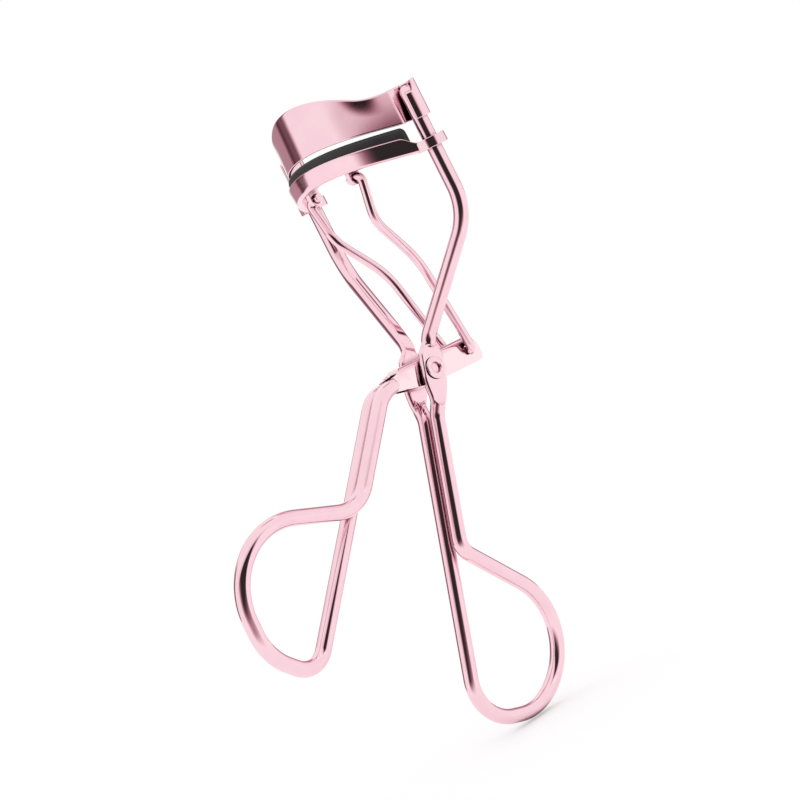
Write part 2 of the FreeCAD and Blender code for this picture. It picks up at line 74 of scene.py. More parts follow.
GUIDE_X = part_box("frame_wire")[1][0] / MM - FRAME_WIRE_R
GUIDE_Y = 9.9
ROD_TOP_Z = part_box("frame_wire")[1][2] / MM - FRAME_WIRE_R
GUIDE_BEND_Z = 22.1
GUIDE_BEND_R = 11.5
JAW_SAGITTA = 11.2
FACE_R = (GUIDE_X ** 2 + JAW_SAGITTA ** 2) / (2 * JAW_SAGITTA)
ARC_Y = GUIDE_Y - JAW_SAGITTA + FACE_R
ARC_CENTRE = Vector((0, ARC_Y, 0))
FACE_MIDDLE_R = FACE_R - JAW_SHEET / 2
ARCH_R = 55.0
UPPER_ARCH_R = 49.0

# ---- frame handle and pivot plates ----
HANDLE_TILT = 21.8
STRAND_X = 1.75
NECK_REACH = 5.5
NECK_BEND_R = 4.0
JOGGLE_END = 8.2
PLATE_X = 2.9
PLATE_HALF_T = 0.6
PLATE_HALF_W = 2.55
PLATE_EDGE_R = 0.5

# ---- finger rings: start, base and outer corner along and across the handle ----
FRAME_RING_START = 32.1
FRAME_RING_BASE = 29.8
FRAME_RING_APEX = 30.0
FRAME_APEX_SHARE = 0.51
FRAME_HEEL = 12.2
FRAME_HEEL_SHARE = 0.97
FRAME_RING_TOP_R = 3.6
FRAME_RING_BOTTOM_R = 7.0
LEVER_RING_START = 30.2
LEVER_RING_BASE = 29.3
LEVER_RING_APEX = 27.3
LEVER_APEX_SHARE = 0.46
LEVER_HEEL = 10.6
LEVER_HEEL_SHARE = 1.02
LEVER_RING_TOP_R = 7.4
LEVER_RING_BOTTOM_R = 4.8
RING_SIDE_R = 12.2
RING_HEEL_R = 10.0
RING_HEEL_X = 0.7

# ---- lever and bracket ----
LEVER_TILT = 46.0
LEVER_OFFSET = 8.45
LEVER_STRAND_X = 1.45
LEVER_BEND_R = 7.0
BRACKET_TILT = -2.5
BRACKET_HALF_W = 2.1
BRACKET_TOP = 2.65
BRACKET_BOTTOM = -2.35
BRACKET_BACK = -8.8
BRACKET_BACK_BOTTOM = -0.9
BRACKET_FRONT = 12.6
BRACKET_CHIN = 12.9
BRACKET_BEND_R = 0.75
WEB_FRONT = 10.2
WEB_BACK = -6.2
STRAND_Z = 0.3          # height of the strands in the bracket
STRAND_END = -4.3

# ---- thrust wires ----
HINGE_Y = 0.8
HINGE_Z = 35.7
LUG_X = 6.0
LUG_T = 1.1
LUG_R = 1.2
HOOK_Y = 10.2
HOOK_Z = -0.3

# ---- jaws ----
UPPER_EDGE_Z = 42.8
PAD_TOP_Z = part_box("lash_pad")[1][2] / MM
PAD_PROUD = 1.5         # the pad stands this far out of its channel
CHANNEL_H = 3.2
CHANNEL_TOP_Z = PAD_TOP_Z - PAD_PROUD
CHANNEL_BOTTOM_Z = CHANNEL_TOP_Z - CHANNEL_H
CHANNEL_R = 21.2
CHANNEL_DEPTH = 3.3

X_AXIS = Vector((1, 0, 0))
Z_AXIS = Vector((0, 0, 1))


# ======== small tools ========

SAME_PLACE = 1e-6       # a length this small counts as none
FEWEST_ARC_STEPS = 2    # stations on the shortest arc
MERGE_GAP = 1e-7        # points this near become one, in metres
BEVEL_SEGMENTS = 3
EDGE_STEPS = 3          # steps round a sheet's rounded edge


def smooth(value, start, end):
    """0 before start, 1 after end, and an even S-curve between them."""
    t = min(max((value - start) / (end - start), 0.0), 1.0)
    return t * t * (3 - 2 * t)


def mix(a, b, share):
    return a + (b - a) * share


def polar(angle):
    """Unit vector in the plane at an angle in degrees."""
    return Vector((math.cos(math.radians(angle)), math.sin(math.radians(angle))))


def arc_points(centre, radius, start, end, count=EDGE_STEPS):
    """Points of an arc in the plane, from one angle to another."""
    centre = Vector(centre)
    return [centre + radius * polar(mix(start, end, i / count)) for i in range(count + 1)]


def run_stations(start, end, step_at):
    """(point, tangent) pairs along a straight run, without its last point."""
    direction = (end - start).normalized()
    length = (end - start).length
    done = 0.0
    stations = []
    while done < length - SAME_PLACE:
        point = start + direction * done
        stations.append((point, direction))
        done += step_at(point)
    return stations


def path_stations(corners, step_at, arc_step=3.0):
    """(point, tangent) pairs along straight runs joined by tangent arcs.
    corners are (point, radius) pairs. step_at gives the step at a point."""
    stations = []
    start = corners[0][0]
    for (before, _), (corner, radius), (after, _) in zip(corners, corners[1:], corners[2:]):
        back = (before - corner).normalized()
        ahead = (after - corner).normalized()
        half = back.angle(ahead) / 2
        reach = radius / math.tan(half)
        arc_start = corner + back * reach
        centre = corner + (back + ahead).normalized() * (radius / math.sin(half))
        turn = math.pi - 2 * half
        axis = ahead.cross(back).normalized()
        stations += run_stations(start, arc_start, step_at)
        count = max(FEWEST_ARC_STEPS, math.ceil(math.degrees(turn) / arc_step))
        count = max(count, math.ceil(turn * radius / step_at(corner)))
        for i in range(count):
            spin = Matrix.Rotation(turn * i / count, 3, axis)
            stations.append((centre + spin @ (arc_start - centre), spin @ -back))
        start = corner + ahead * reach
    direction = (corners[-1][0] - start).normalized()
    stations += run_stations(start, corners[-1][0], step_at)
    stations.append((corners[-1][0], direction))
    return stations


def mesh_object(name, points, faces):
    """A mesh object from points in millimetres."""
    mesh = bpy.data.meshes.new(name)
    mesh.from_pydata([Vector(p) * MM for p in points], [], faces)
    mesh.validate()
    piece = bpy.data.objects.new(name, mesh)
    bpy.context.scene.collection.objects.link(piece)
    return piece


def skin(rings, closed_ends=True):
    """(points, faces) of a skin over rings of the same number of points."""
    count = len(rings[0])
    points = [point for ring in rings for point in ring]
    faces = []
    for i in range(len(rings) - 1):
        for j in range(count):
            k = (j + 1) % count
            faces.append((i * count + j, i * count + k, (i + 1) * count + k, (i + 1) * count + j))
    if closed_ends:
        faces.append(tuple(reversed(range(count))))
        last = (len(rings) - 1) * count
        faces.append(tuple(range(last, last + count)))
    return points, faces


def joined(parts):
    """Several (points, faces) pairs as one."""
    points = []
    faces = []
    for part_points, part_faces in parts:
        shift = len(points)
        points += part_points
        faces += [tuple(index + shift for index in face) for face in part_faces]
    return points, faces


def mirrored(part):
    """The mirror image of (points, faces) in the plane of symmetry."""
    points, faces = part
    return [Vector((-p[0], p[1], p[2])) for p in points], [tuple(reversed(face)) for face in faces]


def finish_piece(piece, body, nodes, material, bevel=0.0, sharp=38.0):
    """Smooth shading, rounded edges, material, body and CAD nodes of a piece."""
    mesh = piece.data
    tidy = bmesh.new()
    tidy.from_mesh(mesh)
    bmesh.ops.remove_doubles(tidy, verts=tidy.verts, dist=MERGE_GAP)
    bmesh.ops.recalc_face_normals(tidy, faces=tidy.faces)
    tidy.to_mesh(mesh)
    tidy.free()
    mesh.shade_smooth()
    mesh.set_sharp_from_angle(angle=math.radians(sharp))
    if bevel:
        rounding = piece.modifiers.new("edges", "BEVEL")
        rounding.width = bevel * MM
        rounding.segments = BEVEL_SEGMENTS
        rounding.limit_method = "ANGLE"
        rounding.angle_limit = math.radians(sharp)
        weighted = piece.modifiers.new("normals", "WEIGHTED_NORMAL")
        weighted.keep_sharp = True
    mesh.materials.append(material)
    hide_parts(*nodes)
    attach(piece, body)


# ======== wires ========

def cross_axes(tangent):
    """Two axes across a wire: the first keeps as near +X as it can."""
    side = (X_AXIS - X_AXIS.dot(tangent) * tangent).normalized()
    return side, tangent.cross(side)


def handle_point(tilt, x, reach, across):
    """A point by its distance down a tilted handle, and across it towards +Y."""
    tilt = math.radians(tilt)
    y = -reach * math.sin(tilt) + across * math.cos(tilt)
    z = -reach * math.cos(tilt) - across * math.sin(tilt)
    return Vector((x, y, z))


def frame_down(x, reach, across=0.0):
    return handle_point(HANDLE_TILT, x, reach, across)


def lever_down(x, reach, across=0.0):
    """Here across is positive away from the frame."""
    return handle_point(LEVER_TILT, x, reach, -across)


def flipped(point):
    return Vector((-point.x, point.y, point.z))


FRAME_DOWN = frame_down(0, 1)
COIN_UPPER = -3.9       # the step at the upper end of the plate's outer face
COIN_LOWER = 6.4        # the pressed face ends here, towards the handle
COIN_ARCH = 0.4         # how much both ends are arched
COIN_SOFT = 0.32        # length of the step
INNER_SHORTER = 0.4     # the inner face's lower step is this much nearer the rivet
INNER_SOFT = 1.2        # and this long
SCARF_START = -13.0     # the inner face starts to flatten here, up the shoulder
SCARF_END = -6.5
SCARF_BLEND = 0.25      # rounding where a pressed face meets the round wire
WIDEN = (-5.0, -2.4)    # the wire widens into the plate between these
NARROW = (1.4, 7.6)     # and narrows again between these
WIRE_SIDES = 36         # points on each half of a section
WIRE_STEP = 1.6         # distance between stations
PRESSED_STEP = 0.1      # the same beside the rivet
PRESSED_MARGIN = 1.0    # and this far past the pressed faces
DOME_STEPS = 8


def plate_half_width(reach):
    """The wire widens into the pivot plate and narrows again."""
    share = smooth(reach, *WIDEN) * (1 - smooth(reach, *NARROW))
    return mix(FRAME_WIRE_R, PLATE_HALF_W, share)


def plate_face(v, half_width):
    """Half the plate's thickness at v across it, with rounded edges."""
    into_edge = (abs(v) - (half_width - PLATE_EDGE_R)) / PLATE_EDGE_R
    if into_edge <= 0:
        return PLATE_HALF_T
    return PLATE_HALF_T * math.sqrt(max(0.0, 1 - into_edge ** 2))


def wire_face(v, radius=FRAME_WIRE_R):
    """Half the round wire's thickness at v across it."""
    return math.sqrt(max(0.0, radius ** 2 - v ** 2))


def soft_min(a, b, blend):
    """The smaller of two values, with the corner between them rounded."""
    share = max(0.0, 1 - abs(a - b) / blend)
    return min(a, b) - blend * share ** 2 / 4


def outer_face(v, reach, half_width):
    """The plate's outer face: pressed flat between two arched steps."""
    arch = COIN_ARCH * min(abs(v), FRAME_WIRE_R) ** 2
    upper = smooth(reach, COIN_UPPER - arch, COIN_UPPER - arch + COIN_SOFT)
    lower = 1 - smooth(reach, COIN_LOWER - arch - COIN_SOFT, COIN_LOWER - arch)
    flat = plate_face(v, half_width)
    proud = max(0.0, wire_face(v) - flat)
    return flat + proud * (1 - upper * lower)


def inner_face(v, reach, half_width):
    """The plate's inner face: a long scarf from the shoulder, an arched step below."""
    arch = COIN_ARCH * min(abs(v), FRAME_WIRE_R) ** 2
    scarf = min(max((reach - SCARF_START) / (SCARF_END - SCARF_START), 0.0), 1.0)
    end = COIN_LOWER - INNER_SHORTER - arch
    lower = 1 - smooth(reach, end - INNER_SOFT, end)
    limit = mix(FRAME_WIRE_R + SCARF_BLEND, PLATE_HALF_T, scarf * lower)
    return max(plate_face(v, half_width), soft_min(wire_face(v), limit, SCARF_BLEND))


def across_section(half_width, i):
    """Distance across a section at its point i, from edge to edge."""
    return half_width * math.sin(math.radians(mix(-90, 90, i / WIRE_SIDES)))


def frame_ring(station):
    """Section of the frame's wire, which is pressed into a plate beside the rivet."""
    point, tangent = station
    side, up = cross_axes(tangent)
    reach = point.dot(FRAME_DOWN)
    outward = 1 if point.x > 0 else -1
    near_plate = SCARF_START < reach < JOGGLE_END
    half_width = plate_half_width(reach) if near_plate else FRAME_WIRE_R
    ring = []
    for face in (1, -1):
        for i in range(WIRE_SIDES):
            v = across_section(half_width, i) * face
            if not near_plate:
                height = wire_face(v)
            elif face == outward:
                height = outer_face(v, reach, half_width)
            else:
                height = inner_face(v, reach, half_width)
            ring.append(point + side * (face * height) + up * v)
    return ring


def domed(ring, point, tangent, sign):
    """Rings that close a wire's end as a dome, from its first or last ring."""
    dome = []
    for i in range(1, DOME_STEPS):
        angle = math.radians(90 * i / DOME_STEPS)
        shift = tangent * (sign * FRAME_WIRE_R * math.sin(angle))
        dome.append([point + (p - point) * math.cos(angle) + shift for p in ring])
    return dome


def frame_step(point):
    """Close stations beside the rivet, wide ones elsewhere."""
    reach = point.dot(FRAME_DOWN)
    pressed = SCARF_START - PRESSED_MARGIN < reach < JOGGLE_END + PRESSED_MARGIN
    return PRESSED_STEP if pressed else WIRE_STEP


def frame_wire_stations():
    rod_top = Vector((GUIDE_X, GUIDE_Y, ROD_TOP_Z))
    side = [
        (rod_top, 0),
        (Vector((GUIDE_X, GUIDE_Y, GUIDE_BEND_Z)), GUIDE_BEND_R),
        (frame_down(PLATE_X, -NECK_REACH), NECK_BEND_R),
        (frame_down(PLATE_X, NECK_REACH), NECK_BEND_R),
        (frame_down(STRAND_X, JOGGLE_END), NECK_BEND_R),
    ]
    apex = FRAME_RING_START + FRAME_RING_BASE * FRAME_APEX_SHARE
    heel = FRAME_RING_START + FRAME_RING_BASE * FRAME_HEEL_SHARE
    ring = [
        (frame_down(STRAND_X, FRAME_RING_START), FRAME_RING_TOP_R),
        (frame_down(0, apex, FRAME_RING_APEX), RING_SIDE_R),
        (frame_down(-STRAND_X * RING_HEEL_X, heel, FRAME_HEEL), RING_HEEL_R),
        (frame_down(-STRAND_X, FRAME_RING_START + FRAME_RING_BASE), FRAME_RING_BOTTOM_R),
    ]
    other_side = [(flipped(point), radius) for point, radius in reversed(side)]
    return path_stations(side + ring + other_side, frame_step)


def build_frame_wire(material):
    stations = frame_wire_stations()
    rings = [frame_ring(station) for station in stations]
    first = domed(rings[0], *stations[0], -1)
    last = domed(rings[-1], *stations[-1], 1)
    piece = mesh_object("frame_wire_polished", *skin(first[::-1] + rings + last))
    finish_piece(piece, "frame", ["frame_wire"], material)


def in_bracket(x, y, z):
    """A point given in the bracket's level frame."""
    return Matrix.Rotation(math.radians(BRACKET_TILT), 3, "X") @ Vector((x, y, z))


def levelled(point):
    """The point seen in the bracket's level frame."""
    return Matrix.Rotation(math.radians(-BRACKET_TILT), 3, "X") @ point


def lever_corner(x):
    """Where the bracket's axis meets the line of the lever's strands."""
    start = in_bracket(x, 0, STRAND_Z)
    back = in_bracket(x, -1, STRAND_Z) - start
    across = lever_down(0, 0, 1)
    return start + back * ((LEVER_OFFSET - start.dot(across)) / back.dot(across))


TONGUE_X = 0.71         # middle of the flattened tongue inside the bracket
TONGUE_HALF_T = 0.64
SHOULDER_BULGE = 0.75   # the shoulder's end is rounded over the bracket's wall
SHOULDER_SOFT = 0.3
FACET_START = 6.0       # the upper facet starts this far behind the bracket
FACET_DEPTH = 0.3
SHOULDER_STEP = 0.08    # distance between stations at the bracket's back
SHOULDER_MARGIN = 1.5   # and this far to both sides of it
UPPER_STEP = 0.5        # elsewhere above UPPER_Z
UPPER_Z = -12.0


def lever_ring(station):
    """Section of the lever's wire, which is flattened to enter the bracket."""
    point, tangent = station
    side, up = cross_axes(tangent)
    turned = -1 if up.z < 0 else 1
    up = up * turned
    outward = 1 if point.x > 0 else -1
    forward = levelled(point).y - BRACKET_BACK
    upper_half = point.z > lever_down(0, LEVER_RING_START / 2, LEVER_OFFSET).z
    facet = smooth(forward, -FACET_START, 0) * FACET_DEPTH if upper_half else 0.0
    ring = []
    for face in (1, -1):
        for i in range(WIRE_SIDES):
            v = across_section(LEVER_WIRE_R, i) * face * turned
            x = face * wire_face(v, LEVER_WIRE_R)
            if upper_half:
                share = v / LEVER_WIRE_R
                bulge = SHOULDER_BULGE * (1 - share ** 2) if face == outward else 0.0
                pressed = smooth(forward, bulge - SHOULDER_SOFT, bulge)
                oval = TONGUE_HALF_T * math.sqrt(1 - min(share ** 2, 1.0))
                flat = outward * (TONGUE_X - LEVER_STRAND_X) + face * oval
                x = mix(x, flat, pressed)
            ring.append(point + side * x + up * min(v, LEVER_WIRE_R - facet))
    return ring


def lever_step(point):
    """Closest stations at the bracket's back, close ones near it, wide ones below."""
    if point.z <= UPPER_Z:
        return WIRE_STEP
    at_back = abs(levelled(point).y - BRACKET_BACK) < SHOULDER_MARGIN
    return SHOULDER_STEP if at_back else UPPER_STEP


def lever_wire_stations():
    x = LEVER_STRAND_X
    apex = LEVER_RING_START + LEVER_RING_BASE * LEVER_APEX_SHARE
    heel = LEVER_RING_START + LEVER_RING_BASE * LEVER_HEEL_SHARE
    ring_end = LEVER_RING_START + LEVER_RING_BASE
    return path_stations([
        (in_bracket(x, STRAND_END, STRAND_Z), 0),
        (lever_corner(x), LEVER_BEND_R),
        (lever_down(x, LEVER_RING_START, LEVER_OFFSET), LEVER_RING_TOP_R),
        (lever_down(0, apex, LEVER_OFFSET + LEVER_RING_APEX), RING_SIDE_R),
        (lever_down(-x * RING_HEEL_X, heel, LEVER_OFFSET + LEVER_HEEL), RING_HEEL_R),
        (lever_down(-x, ring_end, LEVER_OFFSET), LEVER_RING_BOTTOM_R),
        (lever_corner(-x), LEVER_BEND_R),
        (in_bracket(-x, STRAND_END, STRAND_Z), 0),
    ], lever_step)


def build_lever_wire(material):
    rings = [lever_ring(station) for station in lever_wire_stations()]
    piece = mesh_object("lever_wire_polished", *skin(rings))
    finish_piece(piece, "lever", ["lever_wire"], material)


def round_rings(stations, radius, count=32):
    """Round sections along a path, with axes carried from one to the next."""
    side = stations[0][1].orthogonal().normalized()
    rings = []
    for point, tangent in stations:
        side = (side - side.dot(tangent) * tangent).normalized()
        up = tangent.cross(side)
        ring = []
        for i in range(count):
            around = polar(360 * i / count) * radius
            ring.append(point + side * around.x + up * around.y)
        rings.append(ring)
    return rings


KNEE = Vector((6.0, 0.6, 27.5))
ELBOW = Vector((4.55, 6.9, 18.1))
KNEE_R = 7.0
ELBOW_R = 17.0
PIN_END_X = 4.6         # the hinge pin runs from here, through the lug
PIN_BEND_X = 7.9        # to this bend
PIN_BEND_R = 1.0
HOOK_BEND_X = 3.1
HOOK_BEND_R = 0.95
HOOK_END_X = 1.1
THRUST_STEP = 0.6
THRUST_ARC_STEP = 6.0
THRUST_BEVEL = 0.12


def thrust_wire_part():
    """The right thrust wire: hinge pin, two bends and the hook at its foot."""
    stations = path_stations([
        (Vector((PIN_END_X, HINGE_Y, HINGE_Z)), 0),
        (Vector((PIN_BEND_X, HINGE_Y, HINGE_Z)), PIN_BEND_R),
        (KNEE, KNEE_R),
        (ELBOW, ELBOW_R),
        (Vector((HOOK_BEND_X, HOOK_Y, HOOK_Z)), HOOK_BEND_R),
        (Vector((HOOK_END_X, HOOK_Y, HOOK_Z)), 0),
    ], lambda point: THRUST_STEP, arc_step=THRUST_ARC_STEP)
    return skin(round_rings(stations, THRUST_WIRE_R))


def build_thrust_wires(material):
    right = thrust_wire_part()
    for name, part in (("right", right), ("left", mirrored(right))):
        piece = mesh_object("thrust_wire_" + name + "_polished", *part)
        nodes = ["thrust_wire_" + name]
        finish_piece(piece, "thrust_" + name, nodes, material, THRUST_BEVEL)


# ======== rivet ========

RIVET_HEAD_R = 2.0
RIVET_BORE_R = 0.95
RIVET_SHANK_R = 1.3
RIVET_DOME = 0.75       # width of the rolled head's rounding
RIVET_MOUTH = 0.28      # rounding where the bore opens
RIVET_LIP = 0.27        # the rolled rim stands this far off the plate
RIVET_NECK_R = 1.5      # under the rim
RIVET_SIDES = 72
ROLL_POINTS = 15
ROLL_STEP = 6.4         # degrees from one point of the roll to the next
MOUTH_STEPS = 8
RIVET_SHARP = 50.0


def build_rivet(material):
    """A tubular rivet: bore, flared mouths and rolled heads, turned about X."""
    seat = PLATE_X + PLATE_HALF_T
    rim = seat + RIVET_LIP
    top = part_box("pivot_rivet")[1][0] / MM
    roll = []
    for i in range(ROLL_POINTS):
        around = polar(ROLL_STEP * i)
        radius = RIVET_HEAD_R - RIVET_DOME * (1 - around.y)
        roll.append(Vector((rim + (top - rim) * around.x, radius)))
    foot = [(rim, RIVET_NECK_R), (seat, RIVET_NECK_R), (seat, RIVET_SHANK_R)]
    mouth_centre = (top - RIVET_MOUTH, RIVET_BORE_R + RIVET_MOUTH)
    mouth = arc_points(mouth_centre, RIVET_MOUTH, 270, 360, MOUTH_STEPS)
    half = [Vector((0, RIVET_BORE_R))] + mouth + roll + [Vector(p) for p in foot]
    profile = half + [Vector((-p.x, p.y)) for p in reversed(half[1:])]
    rings = []
    for i in range(RIVET_SIDES):
        around = polar(360 * i / RIVET_SIDES)
        rings.append([Vector((p.x, p.y * around.x, p.y * around.y)) for p in profile])
    piece = mesh_object("pivot_rivet_polished", *skin(rings + rings[:1], closed_ends=False))
    finish_piece(piece, "frame", ["pivot_rivet"], material, sharp=RIVET_SHARP)


# ======== stamped sheet ========

FOLD_GAP = 1e-5         # points this near a fold line lie on it


def flat_sheet(outline, holes, folds):
    """A filled plane shape as a bmesh, cut along every fold line x = fold."""
    sheet = bmesh.new()
    edges = []
    for loop in [outline] + holes:
        corners = [sheet.verts.new((p[0], p[1], 0)) for p in loop]
        edges += [sheet.edges.new((a, b)) for a, b in zip(corners, corners[1:] + corners[:1])]
    bmesh.ops.triangle_fill(sheet, edges=edges, use_beauty=True, normal=Z_AXIS)
    for fold in folds:
        everything = sheet.verts[:] + sheet.edges[:] + sheet.faces[:]
        cut = {"plane_co": (fold, 0, 0), "plane_no": X_AXIS, "dist": FOLD_GAP}
        bmesh.ops.bisect_plane(sheet, geom=everything, **cut)
    return sheet


def stamped_part(outline, holes, folds, place, thickness):
    """(points, faces) of bent sheet. place(x, y) gives a point and its normal."""
    sheet = flat_sheet(outline, holes, folds)
    sheet.verts.index_update()
    count = len(sheet.verts)
    points = []
    for side in (0.5, -0.5):
        for vert in sheet.verts:
            point, normal = place(vert.co.x, vert.co.y)
            points.append(point + normal * (thickness * side))
    faces = []
    for face in sheet.faces:
        loop = [vert.index for vert in face.verts]
        faces.append(tuple(loop))
        faces.append(tuple(index + count for index in reversed(loop)))
    for edge in sheet.edges:
        if edge.is_boundary:
            loop = edge.link_loops[0]
            a = loop.vert.index
            b = loop.link_loop_next.vert.index
            faces.append((b, a, a + count, b + count))
    sheet.free()
    return points, faces


WEB_HALF = BRACKET_HALF_W - JAW_SHEET / 2 - BRACKET_BEND_R
WEB_Z = BRACKET_TOP - JAW_SHEET / 2
WALL_START = WEB_HALF + BRACKET_BEND_R * math.pi / 2
WALL_TOP_Z = WEB_Z - BRACKET_BEND_R
BACK_STEPS = 32
BACK_GAP = 0.05         # between the walls and the wire's shoulders
BACK_FOOT = 0.45        # the walls' hollow ends this far above their lower corner
NOTCH_START = WALL_TOP_Z - 0.2      # from here their back edge leads to the web's
NOTCH_END = WEB_Z - 0.1
BELLY_START = 0.4
BACK_CORNER_R = 0.15
BELLY_Y = -1.0          # the lower edge turns level here
BELLY_R = 5.0
CHIN_R = 1.2
FRONT_TOP = 2.15
FRONT_R = 1.9
WEB_CORNER = 0.5        # the walls' top turns up this far in front of the web
WEB_CORNER_R = 0.3
WEB_EDGE_Z = 2.29
BELLY_STEP = 2.0
BELLY_ARC_STEP = 10.0
BRACKET_HOLE_R = 1.36
SLOT_R = 0.95
SLOT_HALF = 0.275       # half the distance between the slot's two centres
SLOT_STEPS = 14
FOLD_STEPS = 8
BRACKET_BEVEL = 0.1


def unrolled(z):
    """How far from the middle of the bracket's flat pattern a height lies."""
    if z <= WALL_TOP_Z:
        return WALL_START + WALL_TOP_Z - z
    rise = math.asin(min((z - WALL_TOP_Z) / BRACKET_BEND_R, 1.0))
    return WALL_START - BRACKET_BEND_R * rise


def bracket_place(t, y):
    """Folds the flat pattern into the bracket's channel."""
    sign = 1 if t >= 0 else -1
    t = abs(t)
    lean = min(max((t - WEB_HALF) / BRACKET_BEND_R, 0.0), math.pi / 2)
    x = min(t, WEB_HALF) + BRACKET_BEND_R * math.sin(lean)
    z = WALL_TOP_Z + BRACKET_BEND_R * math.cos(lean) - max(t - WALL_START, 0.0)
    return in_bracket(sign * x, y, z), in_bracket(sign * math.sin(lean), 0, math.cos(lean))


def bracket_half_outline():
    """Half of the flat pattern, from the back of the web round to its front."""
    back = []
    for i in range(BACK_STEPS + 1):
        z = mix(WEB_Z, BRACKET_BACK_BOTTOM + BACK_FOOT, i / BACK_STEPS)
        share = (z - STRAND_Z) / LEVER_WIRE_R
        hollow = SHOULDER_BULGE * max(0.0, 1 - share ** 2)
        notch = (WEB_BACK - BRACKET_BACK) * smooth(z, NOTCH_START, NOTCH_END)
        back.append(Vector((unrolled(z), BRACKET_BACK + BACK_GAP + max(hollow, notch))))
    belly = path_stations([
        (Vector((0, back[-1].y, BRACKET_BACK_BOTTOM + BELLY_START)), 0),
        (Vector((0, BRACKET_BACK, BRACKET_BACK_BOTTOM)), BACK_CORNER_R),
        (Vector((0, BELLY_Y, BRACKET_BOTTOM)), BELLY_R),
        (Vector((0, BRACKET_CHIN, BRACKET_BOTTOM)), CHIN_R),
        (Vector((0, BRACKET_FRONT, FRONT_TOP)), FRONT_R),
        (Vector((0, WEB_FRONT + WEB_CORNER, FRONT_TOP)), WEB_CORNER_R),
        (Vector((0, WEB_FRONT, WEB_EDGE_Z)), 0),
    ], lambda point: BELLY_STEP, arc_step=BELLY_ARC_STEP)
    outline = [Vector((0, back[0].y))] + back
    outline += [Vector((unrolled(point.z), point.y)) for point, _ in belly]
    outline.append(Vector((0, WEB_FRONT)))
    return outline


def round_hole(centre, radius, count=32):
    return arc_points(centre, radius, 0, 360, count)[:-1]


def build_bracket(material):
    half = bracket_half_outline()
    outline = half + [Vector((-p.x, p.y)) for p in reversed(half[1:-1])]
    hook = levelled(Vector((0, HOOK_Y, HOOK_Z)))
    holes = []
    for sign in (1, -1):
        holes.append(round_hole((sign * unrolled(0), 0), BRACKET_HOLE_R))
        slot_x = sign * unrolled(hook.z)
        slot = arc_points((slot_x, hook.y + SLOT_HALF), SLOT_R, 0, 180, SLOT_STEPS)
        slot += arc_points((slot_x, hook.y - SLOT_HALF), SLOT_R, 180, 360, SLOT_STEPS)
        holes.append(slot)
    folds = []
    for i in range(FOLD_STEPS + 1):
        fold = mix(WEB_HALF, WALL_START, i / FOLD_STEPS)
        folds += [fold, -fold]
    part = stamped_part(outline, holes, folds, bracket_place, JAW_SHEET)
    piece = mesh_object("rocker_bracket_polished", *part)
    finish_piece(piece, "lever", ["rocker_bracket"], material, BRACKET_BEVEL)


# ======== jaws ========

def arch_drop(x, radius=ARCH_R):
    """How far the bite line has dropped at x, seen from the front."""
    return radius - math.sqrt(radius ** 2 - min(abs(x), radius) ** 2)


CREASE_ANGLE = 55.0
CREASE_R = 1.0
HUMP_TOP_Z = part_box("upper_jaw")[1][2] / MM
HUMP_R = 21.0
HUMP_HALF_W = 11.8
WAIST_X = 16.5
STRIP_X = 16.3
STRIP_SHOULDER = 0.6
SLEEVE_BOTTOM_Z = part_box("upper_jaw")[0][2] / MM
SLEEVE_TOP_Z = 46.6
SLEEVE_WRAP = 238.0
SLEEVE_END_X = 20.65
SLEEVE_GAP = 0.02       # between the rod and the curl round it
SLEEVE_R = FRAME_WIRE_R + SLEEVE_GAP + JAW_SHEET / 2
JAW_LEAN = 0.42         # the face leans back by this much at the top of the hump
FLARE = 0.14            # the top edge turns outward by this much beside the waist
FLARE_H = 3.4           # height of the part that turns
RELIEF_Z = 44.6         # the curl's free side ends lower than its back
CURL_CORNER_R = 0.5     # rounding of the free side's upper corner
EDGE_ROUNDING = 0.18
EDGE_THINNING = 1.7     # how fast the sheet thins at the curl's free side
CURL_X = GUIDE_X - 1.0  # the curl lies beyond this
RELIEF = (GUIDE_Y - 0.5, GUIDE_Y + 1.1)     # its top steps down between these
LEAN_FADE = (GUIDE_Y - 2.3, GUIDE_Y - 1.1)  # the lean fades out between these
FLARE_RISE = (7.0, 12.2)    # the flare grows between these and then fades
FLARE_FALL = (12.8, 15.6)
FACE_STEPS = 150
FACE_ROWS = 40
STRIP_LEAD = 6          # the crease's rounding starts this many stations before it
STRIP_STEP = 0.15
CREASE_ARC_STEP = 5.0
CURL_STEPS = 72
CURL_CROWDING = 1.6     # stations crowd towards the curl's free side


def curl_start_angle():
    """Where the strip meets the curl, seen from the rod's axis."""
    out = polar(CREASE_ANGLE - 90)
    to_rod = Vector((GUIDE_X, GUIDE_Y)) - Vector((0, ARC_Y)) - out * FACE_MIDDLE_R
    heading = math.atan2(to_rod.y, to_rod.x) + math.asin(SLEEVE_R / to_rod.length)
    return math.degrees(heading) + 90


CURL_END = curl_start_angle() - SLEEVE_WRAP


